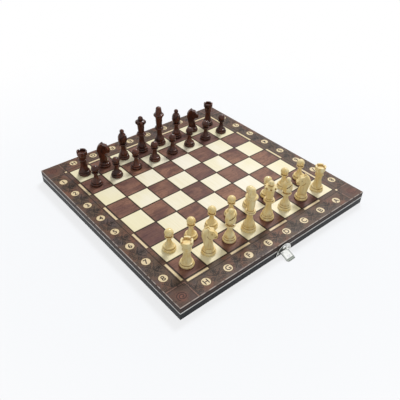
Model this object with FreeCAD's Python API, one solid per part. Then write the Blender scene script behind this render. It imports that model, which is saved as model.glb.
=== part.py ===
"""Folding wooden chess and backgammon board with its chessmen, opened flat, chess side up.

The origin is in the middle of the open board, on the plane of the rims that it lies on. X runs
along the fold, Y from the near half to the far half, Z up. Millimetres.
"""
import FreeCAD
import Part
import math
import os

V = FreeCAD.Vector
AXIS_X = V(1, 0, 0)
AXIS_Y = V(0, 1, 0)
AXIS_Z = V(0, 0, 1)
ORIGIN = V(0, 0, 0)
FULL_TURN = 360
HALF_TURN = 180
QUARTER_TURN = 90

# Board: two trays, each a panel over four mitred rails
BOARD_X = 290.0
BOARD_Y = 290.0
BOARD_H = 17.0
PANEL_T = 4.0
RAIL_T = 8.0
SEAM = 0.2
ARRIS_R = 0.6

# Chess field and the light veneers let into the panel
FILES = "hgfedcba"
RANKS_PER_HALF = 4
SQUARE = 29.75
LINE = 1.6
VENEER_T = 0.6
VENEER_FIT = 0.03
STRIP_W = 2.7
STRIP_OUT = 2.7
MEDALLION_D = 10.4
MEDALLION_OUT = 15.6

# Stringing line in the outer walls
STRING_H = 1.3
STRING_DEPTH = 1.0
STRING_BELOW_TOP = 8.2

# Backgammon points inside each tray
POINTS_PER_SIDE = 6
POINT_LENGTH = 108.0
POINT_GAP = 1.2

# Sheet metal, pins and screws
SHEET_T = 0.7
PIN_R = 0.5
PRESS = 0.01
RUNNING = 0.04
KNUCKLE_R = 1.0
KNUCKLE_GAP = 0.15
KNUCKLE_ROOM = 0.25
SCREW_R = 0.6
SCREW_LENGTH = 5.0
SCREW_FIT = 0.02

# Butt hinges in the rims
HINGE_X = 85.0
HINGE_LENGTH = 20.0
HINGE_LEAF_W = 6.6
HINGE_INSET = 0.05
HINGE_FIT = 0.05
HINGE_SCREW_PITCH = 11.0
HINGE_SCREW_Y = 4.0
CLOSED_GAP = 0.1
LEAF_TUCK = 0.25

# Clasp in the middle of the near wall, stud on the far wall
CLASP_W = 23.0
CLASP_H = 13.0
CLASP_SIDE_H = 3.4
CLASP_BOTTOM = 1.0
MOON_RIM_W = 0.9
MOON_RIM_RISE = 0.25
CLASP_AXIS_Z = 4.8
CLASP_AXIS_OUT = 1.45
CLASP_KNUCKLE_W = 3.0
CLASP_SCREW_PITCH = 17.0
CLASP_SCREW_Z = 4.6
BOSS_R = 2.6
BOSS_RISE = 0.8
BOSS_Z = 9.6
TONGUE_W = 12.0
TONGUE_LENGTH = 10.6
TONGUE_T = 0.7
TONGUE_CORNER_R = 3.2
CURL_R = 2.2
CURL_DEG = 60.0
TIP_CLEAR = 0.03
STUD_W = 2.8
STUD_H = 1.5
STUD_OUT = 2.4
STUD_ROUND = 0.5
STUD_Z = 2.6
SLOT_ROOM = 0.7

# Chessmen: what all of them share
STAND_GAP = 0.02
FOOT_H = 3.6
FOOT_ROUND = 1.0
FOOT_STEP = 2.0
RING_H = 2.4
RING_ROUND = 1.0
SKIRT_STEP = 2.3
BELL_BULGE = 0.5
BELL_SWEEP = 0.6
WAIST_SWEEP = 0.2

KING_H = 57.0
KING_FOOT_R = 8.6
KING_BELL_R = 5.7
KING_BELL_Z = 10.4
KING_WAIST_R = 3.4
KING_WAIST_Z = 18.6
KING_STEM_R = 3.9
KING_COLLAR_Z = 23.4
KING_COLLAR_R = 6.3
KING_COLLAR_H = 2.4
KING_RING_R = 5.4
KING_RING_H = 1.6
KING_NECK_R = 4.6
KING_CROWN_R = 6.7
KING_CROWN_H = 7.0
KING_CROWN_FLARE = 0.8
KING_RIM_H = 2.2
KING_RIM_ROUND = 0.5
KING_SHOULDER_H = 0.8
KING_SHOULDER_RISE = 0.2
KING_FINIAL_H = 10.2
KING_FINIAL_FOOT_R = 4.9
KING_FINIAL_R = 3.5
KING_FINIAL_DOME = 1.6

QUEEN_H = 52.5
QUEEN_FOOT_R = 8.2
QUEEN_BELL_R = 5.5
QUEEN_BELL_Z = 10.2
QUEEN_WAIST_R = 3.4
QUEEN_WAIST_Z = 19.6
QUEEN_STEM_R = 3.9
QUEEN_COLLAR_Z = 24.6
QUEEN_COLLAR_R = 6.6
QUEEN_COLLAR_H = 2.6
QUEEN_RING_R = 5.5
QUEEN_RING_H = 1.8
QUEEN_NECK_R = 4.6
QUEEN_CROWN_R = 7.2
QUEEN_CROWN_H = 6.6
QUEEN_CROWN_FLARE = 0.9
QUEEN_RIM_H = 1.8
QUEEN_DOME_H = 2.0
QUEEN_DOME_RISE = 0.5
QUEEN_BALL_R = 3.4
QUEEN_BALL_NECK_R = 2.6
QUEEN_SCALLOPS = 8
QUEEN_SCALLOP_R = 1.3

BISHOP_H = 43.5
BISHOP_FOOT_R = 7.8
BISHOP_BELL_R = 5.2
BISHOP_BELL_Z = 9.4
BISHOP_WAIST_R = 2.9
BISHOP_WAIST_Z = 16.4
BISHOP_STEM_R = 3.4
BISHOP_COLLAR_Z = 20.6
BISHOP_COLLAR_R = 5.8
BISHOP_COLLAR_H = 2.2
BISHOP_NECK_R = 3.8
BISHOP_NECK_H = 0.9
BISHOP_MITRE_R = 5.9
BISHOP_MITRE_LOW_H = 6.6
BISHOP_MITRE_LOW_BULGE = 0.9
BISHOP_MITRE_BULGE = 1.1
BISHOP_KNOB_R = 3.0
BISHOP_KNOB_NECK_R = 2.2
BISHOP_SLIT_T = 1.0
BISHOP_SLIT_IN = 0.5
BISHOP_SLIT_RISE = 0.6
BISHOP_SLIT_DEG = 38.0
BISHOP_SLIT_FACING_DEG = -60.0

ROOK_H = 34.0
ROOK_FOOT_R = 8.2
ROOK_STEM_R = 4.0
ROOK_SKIRT_SWEEP = 0.8
ROOK_COLLAR_Z = 21.0
ROOK_COLLAR_R = 5.2
ROOK_COLLAR_H = 1.6
ROOK_HEAD_FOOT_R = 4.5
ROOK_HEAD_R = 6.5
ROOK_HEAD_SWEEP = 0.5
ROOK_RIM_H = 4.6
ROOK_CUP_R = 4.6
ROOK_CUP_DEPTH = 2.6
ROOK_NOTCHES = 2
ROOK_NOTCH_W = 2.0
ROOK_NOTCH_DEPTH = 1.7

PAWN_H = 28.0
PAWN_FOOT_R = 7.7
PAWN_STEM_R = 2.7
PAWN_SKIRT_SWEEP = 1.3
PAWN_COLLAR_H = 1.6
PAWN_COLLAR_R = 4.7
PAWN_HEAD_R = 5.0
PAWN_HEAD_NECK_R = 3.1

KNIGHT_H = 34.5
KNIGHT_FOOT_R = 8.0
KNIGHT_PEDESTAL_R = 5.2
KNIGHT_NECK_R = 6.1
KNIGHT_PEDESTAL_H = 1.2
KNIGHT_FACING_DEG = -40.0
TURNED_KNIGHT = "light_knight_b"
KNIGHT_T = 8.0
KNIGHT_NOSE_T = 5.0
KNIGHT_EAR_T = 6.4
KNIGHT_CHEST_REACH = 4.9
KNIGHT_CHEST_BULGE = 0.9
KNIGHT_THROAT_REACH = 1.7
KNIGHT_THROAT_DOWN = 16.4
KNIGHT_THROAT_SWEEP = 1.2
KNIGHT_CHIN_REACH = 7.2
KNIGHT_CHIN_DOWN = 13.4
KNIGHT_NOSE_REACH = 8.6
KNIGHT_NOSE_DOWN = 9.6
KNIGHT_NOSE_BULGE = 0.8
KNIGHT_BROW_REACH = 4.4
KNIGHT_BROW_DOWN = 3.6
KNIGHT_FACE_SWEEP = 0.4
KNIGHT_EAR_FRONT_REACH = 0.4
KNIGHT_EAR_FRONT_DOWN = 2.4
KNIGHT_EAR_TIP_BACK = 1.6
KNIGHT_EAR_FOOT_BACK = 4.2
KNIGHT_EAR_FOOT_DOWN = 2.2
KNIGHT_MANE_REACH = 8.0
KNIGHT_MANE_DOWN = 11.0
KNIGHT_MANE_BULGE = 1.2
KNIGHT_BACK_REACH = 5.0
KNIGHT_BACK_SWEEP = 0.6
KNIGHT_MANE_EASE = 1.0
KNIGHT_EAR_SPLIT_W = 2.0
KNIGHT_EAR_SPLIT_H = 3.0
KNIGHT_MOUTH_T = 0.7
KNIGHT_MOUTH_LENGTH = 3.4
KNIGHT_MANE_CUTS = 5
KNIGHT_MANE_CUT_R = 0.7
KNIGHT_MANE_CUT_DEEP = 0.7
KNIGHT_EYE_R = 0.8
KNIGHT_EYE_REACH = 2.8
KNIGHT_EYE_DOWN = 7.2
KNIGHT_EYE_SPAN = 5.8
KNIGHT_NOSTRIL_R = 0.5
KNIGHT_NOSTRIL_REACH = 7.4
KNIGHT_NOSTRIL_DOWN = 10.2
KNIGHT_NOSTRIL_SPAN = 4.6
KNIGHT_JAW_R = 4.4
KNIGHT_JAW_W = 0.7
KNIGHT_JAW_REACH = 2.0
KNIGHT_JAW_DOWN = 9.5
KNIGHT_JAW_SPAN = 5.9
CHEEK_SQUARENESS = 0.8

# Derived sizes
RAIL_H = BOARD_H - PANEL_T
HALF_X = BOARD_X / 2
HALF_Y = BOARD_Y / 2
SEAM_Y = SEAM / 2
FIELD_HALF = SQUARE * len(FILES) / 2
TILE = SQUARE - LINE
FOLD_Z = -CLOSED_GAP / 2
SCREW_HEAD_R = SCREW_R + SHEET_T
CLASP_AXIS_Y = -HALF_Y - CLASP_AXIS_OUT
CLASP_BARREL_W = TONGUE_W - 2 * CLASP_KNUCKLE_W
SLOT_AT = STUD_Z + CLASP_AXIS_Z + CLOSED_GAP


def box(x0, x1, y0, y1, z0, z1):
    return Part.makeBox(x1 - x0, y1 - y0, z1 - z0, V(x0, y0, z0))


def prism(points, z0, z1):
    """Straight-sided block over a flat outline of X, Y points."""
    loop = [V(x, y, z0) for x, y in points]
    face = Part.Face(Part.makePolygon(loop + loop[:1]))
    return face.extrude(V(0, 0, z1 - z0))


def rod_x(radius, x0, x1, y, z):
    return Part.makeCylinder(radius, x1 - x0, V(x0, y, z), AXIS_X)


def turned_round(shape):
    """The same piece of the far half: half a turn about the middle of the board."""
    return shape.copy().rotate(ORIGIN, AXIS_Z, HALF_TURN)


def fused(shapes):
    return shapes[0].fuse(shapes[1:]).removeSplitter()


class Pen:
    """Outline in the XZ plane, drawn step by step with lines and arcs."""

    def __init__(self, x, z):
        self.start = V(x, 0, z)
        self.at = V(x, 0, z)
        self.edges = []

    def line(self, x, z):
        end = V(x, 0, z)
        self.edges.append(Part.LineSegment(self.at, end).toShape())
        self.at = end

    def curve(self, x, z, bulge):
        """Arc with the given rise over its chord, to the right of the way it runs if positive."""
        end = V(x, 0, z)
        chord = end.sub(self.at)
        side = V(chord.z, 0, -chord.x).normalize()
        middle = self.at.add(chord * 0.5).add(side * bulge)
        self.edges.append(Part.Arc(self.at, middle, end).toShape())
        self.at = end

    def face(self):
        closing = Part.LineSegment(self.at, self.start).toShape()
        return Part.Face(Part.Wire(self.edges + [closing]))

    def turned(self):
        return self.face().revolve(ORIGIN, AXIS_Z, FULL_TURN)


def square_middle(file_index, rank_index):
    """Middle of a square, counted from file h and from the near edge."""
    x = (file_index + 0.5) * SQUARE - FIELD_HALF
    y = (rank_index + 0.5) * SQUARE - FIELD_HALF
    return x, y


def is_light(file_index, rank_index):
    return (file_index + rank_index) % 2 == 1


def veneer(x, y, size_x, size_y, fit):
    """Rectangle of veneer, flush with the top of the board."""
    half_x = size_x / 2 + fit
    half_y = size_y / 2 + fit
    return box(x - half_x, x + half_x, y - half_y, y + half_y, BOARD_H - VENEER_T, BOARD_H)


def light_squares(fit):
    """The light squares of the near half."""
    tiles = []
    for file_index in range(len(FILES)):
        for rank_index in range(RANKS_PER_HALF):
            if is_light(file_index, rank_index):
                x, y = square_middle(file_index, rank_index)
                tiles.append(veneer(x, y, TILE, TILE, fit))
    return tiles


def border_strips(fit):
    """Cream strips beside the dark edge squares, and the dot beside the light corner square."""
    out = FIELD_HALF + STRIP_OUT
    last = len(FILES) - 1
    strips = []
    for file_index in range(len(FILES)):
        if not is_light(file_index, 0):
            x, y = square_middle(file_index, 0)
            strips.append(veneer(x, -out, TILE, STRIP_W, fit))
    for rank_index in range(RANKS_PER_HALF):
        x, y = square_middle(0, rank_index)
        if is_light(0, rank_index):
            strips.append(veneer(out, y, STRIP_W, TILE, fit))
        else:
            strips.append(veneer(-out, y, STRIP_W, TILE, fit))
    corner_x = out if is_light(last, 0) else -out
    strips.append(veneer(corner_x, -out, STRIP_W, STRIP_W, fit))
    return strips


def medallions(fit):
    """Round cream fields for the coordinates, one beside each edge square of the near half."""
    out = FIELD_HALF + MEDALLION_OUT
    middles = []
    for file_index in range(len(FILES)):
        middles.append((square_middle(file_index, 0)[0], -out))
    for rank_index in range(RANKS_PER_HALF):
        y = square_middle(0, rank_index)[1]
        middles.append((-out, y))
        middles.append((out, y))
    radius = MEDALLION_D / 2 + fit
    return [Part.makeCylinder(radius, VENEER_T, V(x, y, BOARD_H - VENEER_T)) for x, y in middles]


def border_inlay(fit):
    return border_strips(fit) + medallions(fit)


def backgammon_points(fit):
    """Twelve long triangles on the tray's floor, six from each short rail."""
    foot_x = HALF_X - RAIL_T
    y_low = -HALF_Y + RAIL_T
    pitch = (HALF_Y - SEAM_Y - 2 * RAIL_T) / POINTS_PER_SIDE
    half = (pitch - POINT_GAP) / 2 + fit
    points = []
    for index in range(POINTS_PER_SIDE):
        y = y_low + (index + 0.5) * pitch
        for side in (-1, 1):
            tip_x = side * (foot_x - POINT_LENGTH - fit)
            outline = [(side * foot_x, y - half), (side * foot_x, y + half), (tip_x, y)]
            points.append(prism(outline, RAIL_H, RAIL_H + VENEER_T))
    return points


def near_panel():
    panel = box(-HALF_X, HALF_X, -HALF_Y, -SEAM_Y, RAIL_H, BOARD_H)
    arrises = []
    for edge in panel.Edges:
        middle = edge.CenterOfMass
        if middle.z > BOARD_H - ARRIS_R and middle.y < -SEAM_Y - RAIL_T:
            arrises.append(edge)
    panel = panel.makeFillet(ARRIS_R, arrises)
    pockets = light_squares(VENEER_FIT) + border_inlay(VENEER_FIT)
    return panel.cut(pockets).cut(backgammon_points(VENEER_FIT))


def edge_line(fit):
    """Stringing along the three outer walls of the near half, flush with them."""
    middle = BOARD_H - STRING_BELOW_TOP
    low = middle - STRING_H / 2 - fit
    high = middle + STRING_H / 2 + fit
    depth = STRING_DEPTH + fit
    outer = box(-HALF_X, HALF_X, -HALF_Y, -SEAM_Y, low, high)
    inner = box(-HALF_X + depth, HALF_X - depth, -HALF_Y + depth, 0, low, high)
    return outer.cut(inner)


def near_front_rail():
    outline = [
        (-HALF_X, -HALF_Y),
        (HALF_X, -HALF_Y),
        (HALF_X - RAIL_T, -HALF_Y + RAIL_T),
        (-HALF_X + RAIL_T, -HALF_Y + RAIL_T),
    ]
    rail = prism(outline, 0, RAIL_H)
    return rail.cut([edge_line(VENEER_FIT)] + clasp_screws(SCREW_FIT))


def near_side_rail(side):
    outline = [
        (side * HALF_X, -HALF_Y),
        (side * HALF_X, -SEAM_Y),
        (side * (HALF_X - RAIL_T), -SEAM_Y - RAIL_T),
        (side * (HALF_X - RAIL_T), -HALF_Y + RAIL_T),
    ]
    return prism(outline, 0, RAIL_H).cut(edge_line(VENEER_FIT))


def near_hinge_rail():
    outline = [
        (-HALF_X, -SEAM_Y),
        (HALF_X, -SEAM_Y),
        (HALF_X - RAIL_T, -SEAM_Y - RAIL_T),
        (-HALF_X + RAIL_T, -SEAM_Y - RAIL_T),
    ]
    rail = prism(outline, 0, RAIL_H)
    half = HINGE_LENGTH / 2 + HINGE_FIT
    recesses = [edge_line(VENEER_FIT)]
    for x in (-HINGE_X, HINGE_X):
        recesses.append(box(x - half, x + half, -HINGE_LEAF_W - HINGE_FIT, 0, 0, HINGE_INSET + SHEET_T))
        recesses.append(rod_x(KNUCKLE_R + KNUCKLE_ROOM, x - half, x + half, 0, FOLD_Z))
    return rail.cut(recesses).cut(hinge_screws(SCREW_FIT))


def screw(fit):
    """Countersunk wood screw, head down on z = 0, shank up."""
    pen = Pen(0, 0)
    pen.line(SCREW_HEAD_R + fit, 0)
    pen.line(SCREW_R + fit, SHEET_T)
    pen.line(SCREW_R + fit, SCREW_LENGTH - SCREW_R)
    pen.line(0, SCREW_LENGTH + fit)
    return pen.turned()


def hinge_screws(fit):
    """Two screws up through each near hinge leaf."""
    screws = []
    for hinge_x in (-HINGE_X, HINGE_X):
        for offset in (-HINGE_SCREW_PITCH / 2, HINGE_SCREW_PITCH / 2):
            piece = screw(fit)
            piece.translate(V(hinge_x + offset, -HINGE_SCREW_Y, HINGE_INSET))
            screws.append(piece)
    return screws


def clasp_screws(fit):
    """Two screws through the near clasp plate into the front rail."""
    screws = []
    for x in (-CLASP_SCREW_PITCH / 2, CLASP_SCREW_PITCH / 2):
        piece = screw(fit).rotate(ORIGIN, AXIS_X, -QUARTER_TURN)
        piece.translate(V(x, -HALF_Y - SHEET_T, CLASP_SCREW_Z))
        screws.append(piece)
    return screws


def near_screws():
    return Part.makeCompound(hinge_screws(0) + clasp_screws(0))


def hinge_thirds(x):
    """The three knuckle spans of a hinge, left to right."""
    pitch = HINGE_LENGTH / 3
    low = x - HINGE_LENGTH / 2
    spans = [(low + index * pitch, low + (index + 1) * pitch) for index in range(3)]
    return [(x0 + KNUCKLE_GAP / 2, x1 - KNUCKLE_GAP / 2) for x0, x1 in spans]


def near_leaf_plate(x):
    y_in = -KNUCKLE_R + LEAF_TUCK
    z_top = HINGE_INSET + SHEET_T
    plate = box(x - HINGE_LENGTH / 2, x + HINGE_LENGTH / 2, -HINGE_LEAF_W, y_in, HINGE_INSET, z_top)
    return plate.cut(hinge_screws(SCREW_FIT))


def hinge_leaf(plate, own_spans, other_spans, bore_r):
    """Leaf with its knuckles rolled round the fold axis and room for the other leaf's knuckles."""
    leaf = fused([plate] + [rod_x(KNUCKLE_R, x0, x1, 0, FOLD_Z) for x0, x1 in own_spans])
    room = KNUCKLE_R + KNUCKLE_ROOM
    cuts = [rod_x(room, x0 - KNUCKLE_GAP, x1 + KNUCKLE_GAP, 0, FOLD_Z) for x0, x1 in other_spans]
    ends = [x for span in own_spans + other_spans for x in span]
    cuts.append(rod_x(bore_r, min(ends), max(ends), 0, FOLD_Z))
    return leaf.cut(cuts)


def near_hinge_leaves():
    leaves = []
    for x in (-HINGE_X, HINGE_X):
        left, middle, right = hinge_thirds(x)
        leaves.append(hinge_leaf(near_leaf_plate(x), [left, right], [middle], PIN_R - PRESS))
    return Part.makeCompound(leaves)


def far_hinge_leaves():
    leaves = []
    for x in (-HINGE_X, HINGE_X):
        left, middle, right = hinge_thirds(x)
        plate = turned_round(near_leaf_plate(-x))
        leaves.append(hinge_leaf(plate, [middle], [left, right], PIN_R + RUNNING))
    return Part.makeCompound(leaves)


def hinge_pins():
    half = HINGE_LENGTH / 2 - KNUCKLE_GAP / 2
    return Part.makeCompound([rod_x(PIN_R, x - half, x + half, 0, FOLD_Z) for x in (-HINGE_X, HINGE_X)])


def moon_block(inset, thickness):
    """Half-moon on the near wall: straight foot, short sides, arched top, narrower by the inset."""
    half = CLASP_W / 2 - inset
    foot = CLASP_BOTTOM - inset
    shoulder = CLASP_BOTTOM + CLASP_SIDE_H
    pen = Pen(-half, foot)
    pen.line(half, foot)
    pen.line(half, shoulder)
    pen.curve(-half, shoulder, CLASP_H - CLASP_SIDE_H - inset)
    block = pen.face().extrude(V(0, -thickness, 0))
    block.translate(V(0, -HALF_Y, 0))
    return block


def half_moon():
    """Half-moon plate with a raised rim round its sides and arch."""
    dish = moon_block(MOON_RIM_W, SHEET_T)
    dish.translate(V(0, -SHEET_T, 0))
    return moon_block(0, SHEET_T + MOON_RIM_RISE).cut([dish] + clasp_screws(SCREW_FIT))


def boss():
    """Domed stamping in the middle of a clasp plate."""
    pen = Pen(0, 0)
    pen.line(BOSS_R, 0)
    pen.curve(0, BOSS_RISE, dome_bulge(BOSS_R, BOSS_RISE))
    dome = pen.turned().rotate(ORIGIN, AXIS_X, QUARTER_TURN)
    dome.translate(V(0, -HALF_Y - SHEET_T, BOSS_Z))
    return dome


def clasp_plate():
    half = TONGUE_W / 2
    barrel = CLASP_BARREL_W / 2
    ears = []
    for x0, x1 in ((-half, -barrel), (barrel, half)):
        ears.append(rod_x(KNUCKLE_R, x0, x1, CLASP_AXIS_Y, CLASP_AXIS_Z))
    room = KNUCKLE_R + KNUCKLE_ROOM
    window = barrel + KNUCKLE_GAP
    cuts = [
        rod_x(room, -window, window, CLASP_AXIS_Y, CLASP_AXIS_Z),
        rod_x(PIN_R - PRESS, -half, half, CLASP_AXIS_Y, CLASP_AXIS_Z),
    ]
    return fused([half_moon(), boss()] + ears).cut(cuts)


def clasp_pin():
    return rod_x(PIN_R, -TONGUE_W / 2, TONGUE_W / 2, CLASP_AXIS_Y, CLASP_AXIS_Z)


def tongue_strip():
    """Flat strip straight out from the pin, its tip curled up, drawn edge-on and widened along X."""
    low = -TONGUE_T / 2
    high = TONGUE_T / 2
    turn = math.radians(CURL_DEG)
    tip_in = V(TONGUE_LENGTH + CURL_R * math.sin(turn), 0, high + CURL_R * (1 - math.cos(turn)))
    tip_out = tip_in.add(V(TONGUE_T * math.sin(turn), 0, -TONGUE_T * math.cos(turn)))
    inner_sag = CURL_R * (1 - math.cos(turn / 2))
    outer_sag = (CURL_R + TONGUE_T) * (1 - math.cos(turn / 2))
    pen = Pen(KNUCKLE_R - LEAF_TUCK, low)
    pen.line(TONGUE_LENGTH, low)
    pen.curve(tip_out.x, tip_out.z, outer_sag)
    pen.line(tip_in.x, tip_in.z)
    pen.curve(TONGUE_LENGTH, high, -inner_sag)
    pen.line(KNUCKLE_R - LEAF_TUCK, high)
    strip = pen.face().extrude(V(0, TONGUE_W, 0))
    strip.translate(V(0, -TONGUE_W / 2, 0))
    return strip


def tongue_outline():
    """Plan of the strip: its far corners are rounded."""
    reach = TONGUE_LENGTH + CURL_R + TONGUE_T
    half = TONGUE_W / 2
    blank = box(0, reach, -half, half, -reach, reach)
    corners = []
    for edge in blank.Edges:
        middle = edge.CenterOfMass
        if abs(middle.x - reach) < TONGUE_T and abs(abs(middle.y) - half) < TONGUE_T:
            corners.append(edge)
    return blank.makeFillet(TONGUE_CORNER_R, corners)


def tongue_droop():
    """Angle in degrees by which the tongue leans down from level, its curl resting on the table."""
    rise = CURL_R + TONGUE_T / 2
    drop = CURL_R + TONGUE_T + TIP_CLEAR - CLASP_AXIS_Z
    reach = math.hypot(TONGUE_LENGTH, rise)
    return math.degrees(math.acos(drop / reach) - math.atan2(TONGUE_LENGTH, rise))


def clasp_tongue():
    slot_x = STUD_H / 2 + SLOT_ROOM
    slot_y = STUD_W / 2 + SLOT_ROOM
    slot = box(SLOT_AT - slot_x, SLOT_AT + slot_x, -slot_y, slot_y, -TONGUE_W, TONGUE_W)
    strip = tongue_strip().common(tongue_outline()).cut(slot)
    strip.rotate(ORIGIN, AXIS_Z, -QUARTER_TURN)
    strip.rotate(ORIGIN, AXIS_X, tongue_droop())
    strip.translate(V(0, CLASP_AXIS_Y, CLASP_AXIS_Z))
    half = TONGUE_W / 2
    barrel = CLASP_BARREL_W / 2 - KNUCKLE_GAP
    room = KNUCKLE_R + KNUCKLE_ROOM
    tongue = fused([strip, rod_x(KNUCKLE_R, -barrel, barrel, CLASP_AXIS_Y, CLASP_AXIS_Z)])
    cuts = [
        rod_x(PIN_R + RUNNING, -half, half, CLASP_AXIS_Y, CLASP_AXIS_Z),
        rod_x(room, -half, -barrel, CLASP_AXIS_Y, CLASP_AXIS_Z),
        rod_x(room, barrel, half, CLASP_AXIS_Y, CLASP_AXIS_Z),
    ]
    return tongue.cut(cuts)


def clasp_catch():
    """Half-moon plate on the far wall with the stud that the tongue's slot goes over."""
    half = STUD_W / 2
    y_out = -HALF_Y - SHEET_T - STUD_OUT
    stud = box(-half, half, y_out, -HALF_Y - SHEET_T, STUD_Z - STUD_H / 2, STUD_Z + STUD_H / 2)
    nose = [edge for edge in stud.Edges if edge.BoundBox.YMax < y_out + STUD_ROUND]
    stud = stud.makeFillet(STUD_ROUND, nose)
    return turned_round(fused([half_moon(), stud]))


def draw_foot(pen, radius):
    """Rounded foot disc with a smaller ring on it."""
    pen.line(radius - FOOT_ROUND, 0)
    pen.curve(radius - FOOT_ROUND, FOOT_H, FOOT_ROUND)
    pen.line(radius - FOOT_STEP, FOOT_H)
    pen.curve(radius - FOOT_STEP, FOOT_H + RING_H, RING_ROUND)
    pen.line(radius - SKIRT_STEP, FOOT_H + RING_H)


def draw_skirt(pen, bell, waist, stem):
    """Rounded bell over the foot that falls in to a waist and opens again to the stem's end."""
    pen.curve(*bell, BELL_BULGE)
    pen.curve(*waist, -BELL_SWEEP)
    pen.curve(*stem, -WAIST_SWEEP)


def draw_collar(pen, radius, height):
    """Ring with a round edge that stands out from the stem."""
    inner = pen.at.x
    low = pen.at.z
    pen.line(radius - height / 2, low)
    pen.curve(radius - height / 2, low + height, height / 2)
    pen.line(inner, low + height)


def king():
    pen = Pen(0, 0)
    draw_foot(pen, KING_FOOT_R)
    bell = (KING_BELL_R, KING_BELL_Z)
    waist = (KING_WAIST_R, KING_WAIST_Z)
    draw_skirt(pen, bell, waist, (KING_STEM_R, KING_COLLAR_Z))
    draw_collar(pen, KING_COLLAR_R, KING_COLLAR_H)
    draw_collar(pen, KING_RING_R, KING_RING_H)
    finial_z = KING_H - KING_FINIAL_H
    rim_z = finial_z - KING_SHOULDER_H
    crown_z = rim_z - KING_RIM_H
    pen.line(KING_NECK_R, crown_z - KING_CROWN_H)
    pen.curve(KING_CROWN_R, crown_z, -KING_CROWN_FLARE)
    pen.curve(KING_CROWN_R, rim_z, KING_RIM_ROUND)
    pen.curve(KING_FINIAL_FOOT_R, finial_z, KING_SHOULDER_RISE)
    pen.line(KING_FINIAL_R, KING_H - KING_FINIAL_DOME)
    pen.curve(0, KING_H, dome_bulge(KING_FINIAL_R, KING_FINIAL_DOME))
    return pen.turned()


def queen():
    pen = Pen(0, 0)
    draw_foot(pen, QUEEN_FOOT_R)
    bell = (QUEEN_BELL_R, QUEEN_BELL_Z)
    waist = (QUEEN_WAIST_R, QUEEN_WAIST_Z)
    draw_skirt(pen, bell, waist, (QUEEN_STEM_R, QUEEN_COLLAR_Z))
    draw_collar(pen, QUEEN_COLLAR_R, QUEEN_COLLAR_H)
    draw_collar(pen, QUEEN_RING_R, QUEEN_RING_H)
    ball_z = QUEEN_H - QUEEN_BALL_R - ball_drop(QUEEN_BALL_R, QUEEN_BALL_NECK_R)
    rim_z = ball_z - QUEEN_DOME_H
    crown_z = rim_z - QUEEN_RIM_H
    pen.line(QUEEN_NECK_R, crown_z - QUEEN_CROWN_H)
    pen.curve(QUEEN_CROWN_R, crown_z, -QUEEN_CROWN_FLARE)
    pen.line(QUEEN_CROWN_R, rim_z)
    pen.curve(QUEEN_BALL_NECK_R, ball_z, QUEEN_DOME_RISE)
    pen.curve(QUEEN_BALL_R, QUEEN_H - QUEEN_BALL_R, ball_bulge(QUEEN_BALL_R, QUEEN_BALL_NECK_R))
    pen.curve(0, QUEEN_H, dome_bulge(QUEEN_BALL_R, QUEEN_BALL_R))
    scallops = []
    for index in range(QUEEN_SCALLOPS):
        notch = Part.makeCylinder(QUEEN_SCALLOP_R, QUEEN_CROWN_R, V(0, 0, rim_z), AXIS_X)
        notch.translate(V(QUEEN_CROWN_R - QUEEN_SCALLOP_R, 0, 0))
        scallops.append(notch.rotate(ORIGIN, AXIS_Z, index * FULL_TURN / QUEEN_SCALLOPS))
    return pen.turned().cut(scallops)


def ball_drop(radius, neck_radius):
    """Height of a ball's equator over the neck that it sits on."""
    return math.sqrt(radius ** 2 - neck_radius ** 2)


def ball_bulge(radius, neck_radius):
    """Rise of the arc from a ball's neck to its equator over its chord."""
    angle = math.acos(neck_radius / radius)
    return radius * (1 - math.cos(angle / 2))


def dome_bulge(radius, rise):
    """Rise over its chord of the arc from a dome's edge to its top, level at the top."""
    curvature_r = (radius ** 2 + rise ** 2) / (2 * rise)
    angle = math.asin(radius / curvature_r)
    return curvature_r * (1 - math.cos(angle / 2))


def bishop():
    pen = Pen(0, 0)
    draw_foot(pen, BISHOP_FOOT_R)
    bell = (BISHOP_BELL_R, BISHOP_BELL_Z)
    waist = (BISHOP_WAIST_R, BISHOP_WAIST_Z)
    draw_skirt(pen, bell, waist, (BISHOP_STEM_R, BISHOP_COLLAR_Z))
    draw_collar(pen, BISHOP_COLLAR_R, BISHOP_COLLAR_H)
    mitre_z = BISHOP_COLLAR_Z + BISHOP_COLLAR_H + BISHOP_NECK_H
    pen.line(BISHOP_NECK_R, mitre_z)
    pen.curve(BISHOP_MITRE_R, mitre_z + BISHOP_MITRE_LOW_H, BISHOP_MITRE_LOW_BULGE)
    knob_z = BISHOP_H - BISHOP_KNOB_R - ball_drop(BISHOP_KNOB_R, BISHOP_KNOB_NECK_R)
    pen.curve(BISHOP_KNOB_NECK_R, knob_z, BISHOP_MITRE_BULGE)
    pen.curve(BISHOP_KNOB_R, BISHOP_H - BISHOP_KNOB_R, ball_bulge(BISHOP_KNOB_R, BISHOP_KNOB_NECK_R))
    pen.curve(0, BISHOP_H, dome_bulge(BISHOP_KNOB_R, BISHOP_KNOB_R))
    slit = box(BISHOP_SLIT_IN, BISHOP_MITRE_R * 2, -BISHOP_MITRE_R, BISHOP_MITRE_R, 0, BISHOP_SLIT_T)
    slit.rotate(ORIGIN, AXIS_Y, -BISHOP_SLIT_DEG)
    slit.translate(V(0, 0, mitre_z + BISHOP_MITRE_LOW_H + BISHOP_SLIT_RISE))
    return pen.turned().cut(slit)


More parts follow.
